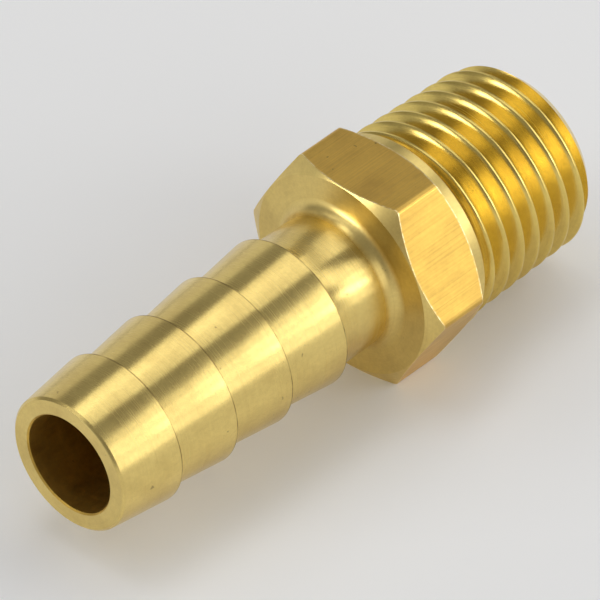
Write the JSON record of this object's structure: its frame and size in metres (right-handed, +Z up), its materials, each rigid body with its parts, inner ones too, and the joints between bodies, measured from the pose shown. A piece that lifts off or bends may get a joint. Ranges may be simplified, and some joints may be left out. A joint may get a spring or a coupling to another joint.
{
  "type": "hose barb tail",
  "caption": "Brass hose tail: a barbed tube for a hose, a hexagon for the spanner and a male taper pipe thread on one axis, bored right through.",
  "frame": {"origin": "on the bore's axis, at the hexagon's shoulder on the thread side", "axes": "+X along the bore, out of the threaded end; +Z up, with the piece lying on one flat of its hexagon"},
  "size_m": [0.0407, 0.016, 0.014],
  "materials": {
    "brass": "machined satin brass"
  },
  "bodies": {
    "root": {"hose_barb_tail": "brass"}
  },
  "joints": []
}
